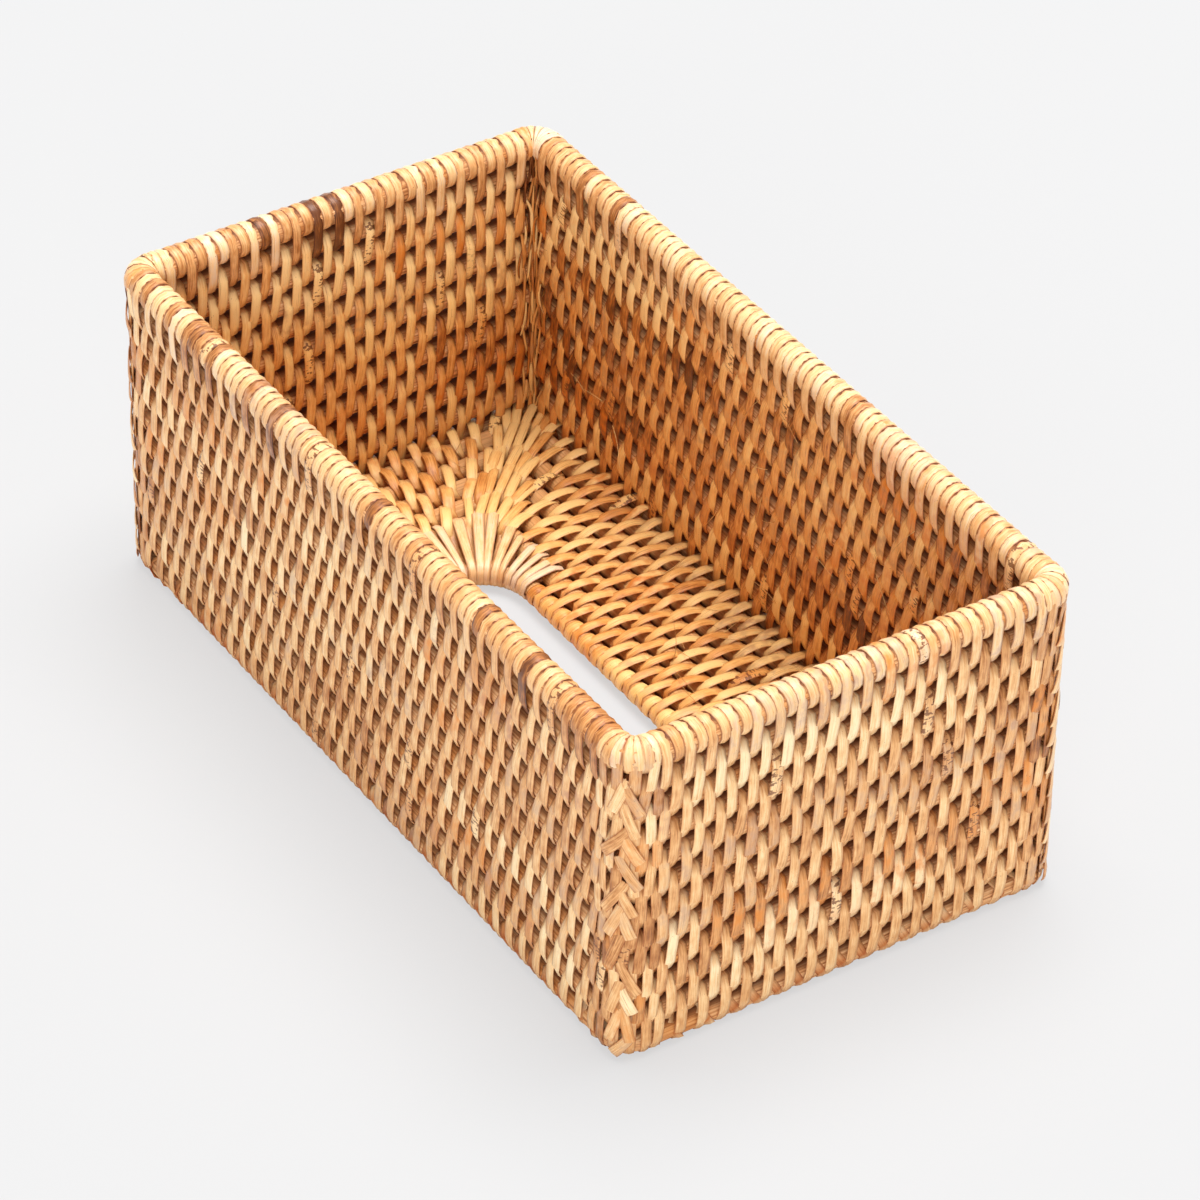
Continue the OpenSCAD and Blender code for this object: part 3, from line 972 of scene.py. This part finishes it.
def mitre_fans():
    """Five long strips at each corner of each ring. The first leans to one side of the diagonal and
    the last to the other. FAN_SLIDES says how far past the bend a strip's ends lie, on its own ring
    and on the ring outside it, for the middle strip, the next ones and the outermost."""
    firsts, seconds = [], []
    for side_x, side_y, _ in CORNERS.values():
        sign = np.array([side_x, side_y, 1.0])
        for k in range(1, PANEL_N + 1):
            inner = np.array([RUN_X - INSETS[k], RUN_Y - INSETS[k], BASE_Z])
            outer = np.array([RUN_X - INSETS[k - 1], RUN_Y - INSETS[k - 1], BASE_Z])
            for lean in (-2, -1, 0, 1, 2):
                turn = math.pi / 4 + np.sign(lean) * FAN_TURN
                ray = np.array([math.cos(turn), math.sin(turn), 0.0]) * BEND_R
                way = np.array([-1.0, 0.0, 0.0] if lean > 0 else [0.0, -1.0, 0.0])
                near, far = FAN_SLIDES[abs(lean)]
                seconds.append((inner + ray + way * near) * sign)
                firsts.append((outer + ray + way * far) * sign)
    firsts, seconds = np.array(firsts), np.array(seconds)
    count = len(firsts)
    firsts[:, :2] += around(*FAN_OFF_PLACE, count, 2)
    extra = between(*FAN_HEIGHTS, count) / 2
    firsts[:, 2] += extra
    seconds[:, 2] += extra
    radius = ON_CANE + extra
    centre, out = pair_loop(firsts, seconds, np.tile(UP, (count, 1)), radius, radius, (FAN_ARCH, 0))
    width = between(*FAN_WIDTHS, count)[:, None] * POINTED
    made = strips_object("mitre_fans", centre, out, width, looks_of("diagonals", count), PEEL, GAP_SHADE)
    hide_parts("mitre_stitches")
    return count


print("strips over the diagonals:", mitre_fans())

# %% [markdown]
# ## The slot
# Along the slot the weave goes on as before, with a short wrap round the slot's cane between two
# stitches. At each end long strips fan out from the slot to the last ring, side by side at the slot
# and well apart at the ring.

# %% Strips along the slot
ALONG_X = np.array([1.0, 0.0, 0.0])
LAST_X, LAST_Y = WALL_X - INSETS[-1], WALL_Y - INSETS[-1]
SLOT_WIDTHS, SLOT_LEAN, SLOT_ARCH = (2.9, 3.3), (0.4, 0.2), 0.5 * MM
SLOT_WRAP_WIDTHS, SLOT_WRAP_LEAN = (3.0, 3.6), 0.4 * MM


def slot_sides(half):
    """Places along the slot's two long sides, the way out of the slot there, and the way up."""
    at = even_places(SLOT_RUN, LONG_STEP, half)
    at, side = np.tile(at, 2), np.repeat([-1.0, 1.0], len(at))
    outward = np.stack([0 * side, side, 0 * side], -1)
    return at + around(*OFF_STEP, len(at)), outward, np.tile(UP, (len(at), 1))


def slot_stitches():
    """Loops round the slot's cane and the last ring."""
    at, outward, way_up = slot_sides(0.5)
    count = len(at)
    first = outward * LAST_Y + ALONG_X * at[:, None] + UP * BASE_Z
    second = outward * SLOT_Y + ALONG_X * at[:, None] + UP * SLOT_Z
    lean = around(*SLOT_LEAN, count)
    centre, out = pair_loop(first, second, way_up, ON_CANE, ON_SLOT, (SLOT_ARCH, 0), (lean, lean))
    width = between(*SLOT_WIDTHS, count)[:, None]
    made = strips_object("slot_weave", centre, out, width, looks_of("slot stitches", count), PEEL)
    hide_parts("slot_stitches")
    return count


def slot_wraps():
    """Loops round the slot's cane alone."""
    at, outward, way_up = slot_sides(0.0)
    count = len(at)
    place = ALONG_X * at[:, None] + outward * SLOT_Y + UP * SLOT_Z
    centre, out = single_loop(place, np.tile(ALONG_X, (count, 1)), way_up, ON_SLOT, SLOT_WRAP_LEAN)
    width = between(*SLOT_WRAP_WIDTHS, count)[:, None]
    made = strips_object("slot_bands", centre, out, width, looks_of("slot wraps", count), PEEL)
    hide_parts("slot_wraps")
    return count


print("strips along the slot:", slot_stitches() + slot_wraps())

# %% Fans at the slot's ends
SLOT_FAN_N = 43
RAY_OFF = 0.012
RAY_WIDTHS, AT_SLOT_SHARE, WIDENING_SHARE = (2.7, 3.5), 0.72, 0.36
RAY_ARCH, LOW_SAG, LOW_FAN_SHADE = 0.2, -2.5, 0.3
RAY_GAP_SHADE_SHARE = 0.3


def to_last_ring(ray):
    """How far the last ring is from the centre of the slot's end along each ray. A ray meets the ring
    on one of its straight sides or, near its corner, on the circle of its bend."""
    to_end = LAST_X - SLOT_RUN
    straight = np.minimum(to_end / ray[:, 0], LAST_Y / np.maximum(ray[:, 1], TINY))
    bend = np.array([to_end - BEND_R, LAST_Y - BEND_R])
    middle = ray @ bend
    curved = middle + np.sqrt(np.maximum(middle**2 - bend @ bend + BEND_R**2, 0))
    return np.where(np.all(ray * straight[:, None] > bend, axis=1), curved, straight)


def slot_fans():
    """Strips like rays about the centre of each end of the slot, wider at the ring than at the slot.
    Every other one lies lower, sags between the canes and is painted darker, as painted shade."""
    turn = (np.arange(SLOT_FAN_N) - (SLOT_FAN_N - 1) / 2) * math.pi / SLOT_FAN_N
    turn = turn + chance.normal(0, RAY_OFF, SLOT_FAN_N)
    far = to_last_ring(np.stack([np.cos(turn), np.abs(np.sin(turn))], -1))[:, None]
    ray = np.stack([np.cos(turn), np.sin(turn), 0 * turn], -1)
    ends = [np.array([end, 1.0, 1.0]) for end in (1.0, -1.0)]
    first = np.concatenate([(ALONG_X * SLOT_RUN + ray * far) * end + UP * BASE_Z for end in ends])
    second = np.concatenate([(ALONG_X * SLOT_RUN + ray * SLOT_Y) * end + UP * SLOT_Z for end in ends])
    count = len(first)
    way_up = np.tile(UP, (count, 1))
    low = np.tile(np.arange(SLOT_FAN_N) % 2, 2) == 1
    higher = np.where(low, 0, OVERLAP)
    bulge = np.where(low, LOW_SAG, RAY_ARCH) * MM
    centre, out = pair_loop(first, second, way_up, ON_CANE + higher, ON_SLOT + higher, (bulge, 0))
    centre = centre + UP * higher[:, None, None]
    end_centre = np.sign(centre[..., :1]) * ALONG_X[:2] * SLOT_RUN
    from_end = np.linalg.norm(centre[..., :2] - end_centre, axis=-1)
    gone = np.clip((from_end - SLOT_Y) / (far.max() - SLOT_Y), 0, 1)
    width = between(*RAY_WIDTHS, count)[:, None] * (AT_SLOT_SHARE + WIDENING_SHARE * gone)
    looks = looks_of("slot fans", count)
    # Painted shade: the lower strips sit deeper between the canes and are darker.
    looks["tone"] -= np.where(low, LOW_FAN_SHADE, 0)
    # The fans' turns take only a share of the painted shade.
    made = strips_object("slot_fans", centre, out, width, looks, RIM_PEEL, GAP_SHADE * RAY_GAP_SHADE_SHARE)
    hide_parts("slot_end_stitches")
    return count


print("strips in the slot's fans:", slot_fans())

# %% [markdown]
# ## Stray fibres and split ends
# Where the peel was cut or split, a thin fibre stands off the weave here and there, on the inner sides
# of the long walls and on the panel, and more often towards the middle. Inside the corners the cut
# ends of the peel run down the wall, split into narrow strips.

# %% Fibres and split ends
FIBRE_N, SPLIT_END_N = 70, 16
WALL_SHARE, BACK_SHARE = 0.6, 0.75
FIBRE_T, SPLIT_END_T = 0.15 * MM, 0.3 * MM
FIBRE_WIDTHS, FIBRE_LENGTHS, FIBRE_TIP_SHARE = (0.2, 0.4), (4, 11), 0.3
FIBRES_ON_WALL_FROM, FIBRES_ON_PANEL_FROM = (10, 85), (20, 56)
STANDS_OFF, CURLS, CURLS_UP = 0.25, 0.2, 0.15
END_WIDTHS, END_STARTS, END_LENGTHS, END_HEIGHTS = (0.8, 1.7), (-8, 8), (7, 13), (16, 90)
END_SLANT, END_BEND = (0, 2.0), (0, 0.8)


def stray_fibres():
    """Fibres as open strips: start + length * (way * t + bend * t^2) for t from 0 to 1. They start on
    the inner sides of the long walls or on the panel, and most of them on the back half."""
    count = FIBRE_N
    on_wall = chance.random(count) < WALL_SHARE
    x = chance.uniform(-1, 1, count) ** 3 * -RUN_X
    z = np.where(on_wall, between(*FIBRES_ON_WALL_FROM, count), BASE_Z + CANE_D / 2 + PEEL_T)
    y = np.where(on_wall, WALL_Y - CANE_D / 2 - PEEL_T, between(*FIBRES_ON_PANEL_FROM, count))
    y = y * chance.choice([-1.0, 1.0], count, p=[1 - BACK_SHARE, BACK_SHARE])
    start = np.stack([x, y, z], -1)
    inward = np.stack([0 * x, np.where(on_wall, -np.sign(y), 0.0), np.where(on_wall, 0.0, 1.0)], -1)
    way = unit(chance.normal(0, 1, (count, 3)) * np.where(inward != 0, 0.0, 1.0) + inward * STANDS_OFF)
    length = between(*FIBRE_LENGTHS, count)[:, None, None]
    bend = chance.normal(0, CURLS, (count, 3)) + inward * CURLS_UP
    t = np.linspace(0, 1, 5)[None, :, None]
    centre = start[:, None] + length * (way[:, None] * t + bend[:, None] * t**2)
    out = unit(np.broadcast_to(inward[:, None], centre.shape))
    width = between(*FIBRE_WIDTHS, count)[:, None] * np.linspace(1, FIBRE_TIP_SHARE, t.size)[None, :]
    looks = looks_of("fibres", count)
    made = strips_object("stray_fibres", centre, out, width, looks, PEEL, thick=FIBRE_T, closed=False)
    return count


def split_ends(corner):
    """Split ends of peel inside a corner. They run down the inner side with a bend of their own:
    place = start + sideways * t + bend * (1 - (2 t - 1)^2) for t from 0 to 1."""
    count = SPLIT_END_N
    start, length, z = (between(*sizes, count, 1) for sizes in (END_STARTS, END_LENGTHS, END_HEIGHTS))
    sideways, bend = around(*END_SLANT, count, 1), around(*END_BEND, count, 1)
    t = np.linspace(0, 1, 7)[None, :]
    hump = 1 - (2 * t - 1) ** 2
    q = start + sideways * t + bend * hump
    inner = -CANE_D / 2 - PEEL_T - (0.2 + 0.6 * hump) * MM + 0 * q
    centre, out = round_corner(corner, q, inner, z - length * t)
    width = between(*END_WIDTHS, count)[:, None] * (0.5 + 0.5 * hump)
    looks = looks_of("split ends", count)
    name = f"loose_{corner}"
    made = strips_object(name, centre, -out, width, looks, PEEL, thick=SPLIT_END_T, closed=False)
    return count


print("stray fibres:", stray_fibres())
print("split ends:", sum(split_ends(corner) for corner in CORNERS))

# %% [markdown]
# ## Floor and light
# The photograph was taken on a white table under wide, soft light. One big lamp hangs above the box, a
# little behind it, a weaker one stands on the camera's side, and the pale floor throws light back up
# into the weave. For the camera alone the floor also glows a little, so that it looks white without
# more light on the box.

# %% Floor and lamps
FLOOR_HALF = 4.0
FLOOR_ROUGHNESS, FLOOR_SPECULAR = 0.9, 0.1
FLOOR_COLOUR, GLOW, GLOW_SHARE = (0.66, 0.66, 0.66, 1), (0.78, 0.78, 0.785, 1), 0.75
SKY_LIGHT = 0.6
LAMPS = [("top_lamp", (-0.2, 0.4, 2.2), 1.6, 74), ("front_lamp", (1.9, -1.5, 0.9), 1.2, 25)]


def floor():
    """A square plane. Its shader is mixed with a glow, by GLOW_SHARE where the camera looks at it."""
    mesh = bpy.data.meshes.new("floor")
    signs = [(-1, -1), (1, -1), (1, 1), (-1, 1)]
    mesh.from_pydata([(x * FLOOR_HALF, y * FLOOR_HALF, 0) for x, y in signs], [], [(0, 1, 2, 3)])
    made = bpy.data.objects.new("floor", mesh)
    bpy.context.scene.collection.objects.link(made)
    material, shader, start = new_material("white_table", FLOOR_ROUGHNESS)
    shader.inputs["Base Color"].default_value = FLOOR_COLOUR
    shader.inputs["Specular IOR Level"].default_value = FLOOR_SPECULAR
    glow = start.of(start.node("ShaderNodeEmission", Color=GLOW, Strength=1.0).outputs[0])
    seen = start.of(start.node("ShaderNodeLightPath").outputs["Is Camera Ray"])
    table = start.of(shader.outputs[0])
    both = start.node("ShaderNodeMixShader", n0=seen * GLOW_SHARE, n1=table, n2=glow)
    output = material.node_tree.nodes["Material Output"]
    material.node_tree.links.new(both.outputs[0], output.inputs["Surface"])
    mesh.materials.append(material)


def lamp(name, place, size, power):
    """A square area lamp that points at the box. Place and size are in metres, power in watts."""
    light = bpy.data.lights.new(name, "AREA")
    light.size, light.energy = size, power
    made = bpy.data.objects.new(name, light)
    bpy.context.scene.collection.objects.link(made)
    made.location = place
    made.rotation_euler = (-Vector(place)).to_track_quat("-Z", "Y").to_euler()


floor()
for settings in LAMPS:
    lamp(*settings)
world = bpy.data.worlds.new("studio")
bpy.context.scene.world = world
world.use_nodes = True
world.node_tree.nodes["Background"].inputs["Color"].default_value = (1, 1, 1, 1)
world.node_tree.nodes["Background"].inputs["Strength"].default_value = SKY_LIGHT
bpy.context.scene.view_settings.view_transform = "Standard"
print("lamps:", len(LAMPS))
